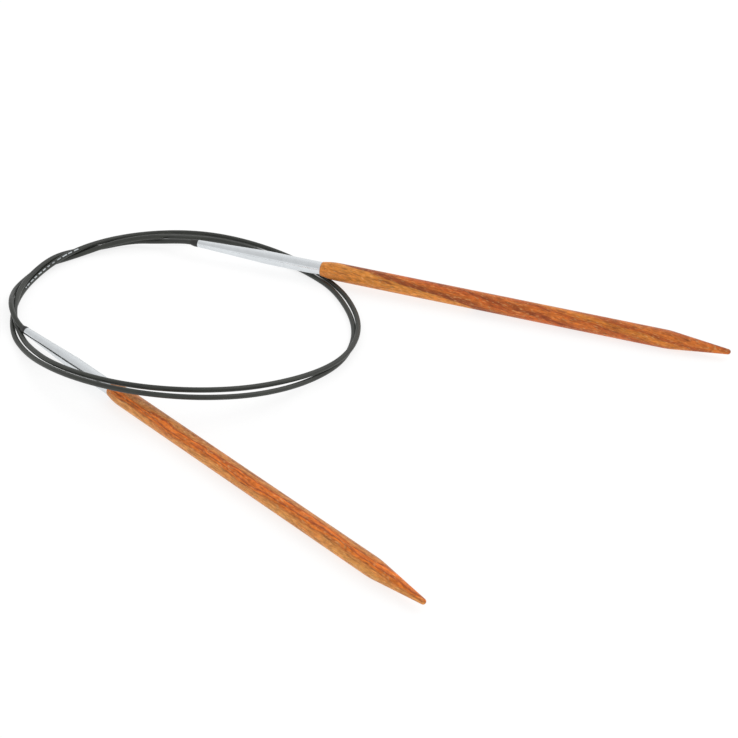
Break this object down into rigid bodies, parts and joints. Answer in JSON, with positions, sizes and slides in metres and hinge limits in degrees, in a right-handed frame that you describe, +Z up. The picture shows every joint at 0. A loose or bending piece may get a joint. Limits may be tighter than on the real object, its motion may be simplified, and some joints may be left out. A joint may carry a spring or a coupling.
{
  "type": "circular knitting needle",
  "caption": "Circular knitting needle: tapered wooden tips in long metal ferrules that swivel on the ends of a thin flexible cable, lying coiled.",
  "frame": {"origin": "on the table, near the middle of the box around the two tips, seen from above", "axes": "+Z up from the table; +X along the wider spread of the tips, towards the point of the back tip; +Y towards the back of the coil"},
  "size_m": [0.1533, 0.1326, 0.0082],
  "materials": {
    "wood": "polished laminated hardwood",
    "ferrule_metal": "satin polished",
    "bush_plastic": "black moulded",
    "crimp_brass": "plain",
    "cable_nylon": "satin extruded nylon"
  },
  "bodies": {
    "cable": {"cable": "cable_nylon", "cable_end_crimp_front": "crimp_brass", "cable_end_crimp_back": "crimp_brass"},
    "front_tip": {"wood_needle_front": "wood", "ferrule_front": "ferrule_metal", "swivel_bush_front": "bush_plastic"},
    "back_tip": {"wood_needle_back": "wood", "ferrule_back": "ferrule_metal", "swivel_bush_back": "bush_plastic"}
  },
  "joints": [
    {"name": "front_tip_swivel", "type": "hinge", "parent": "cable", "child": "front_tip", "pos_m": [-0.07312, 0.02675, 0.002], "axis": [0.6811, -0.7322, 0], "continuous": true},
    {"name": "back_tip_swivel", "type": "hinge", "parent": "cable", "child": "back_tip", "pos_m": [-0.03898, 0.06042, 0.00341], "axis": [0.9394, -0.3426, -0.0133], "continuous": true}
  ]
}
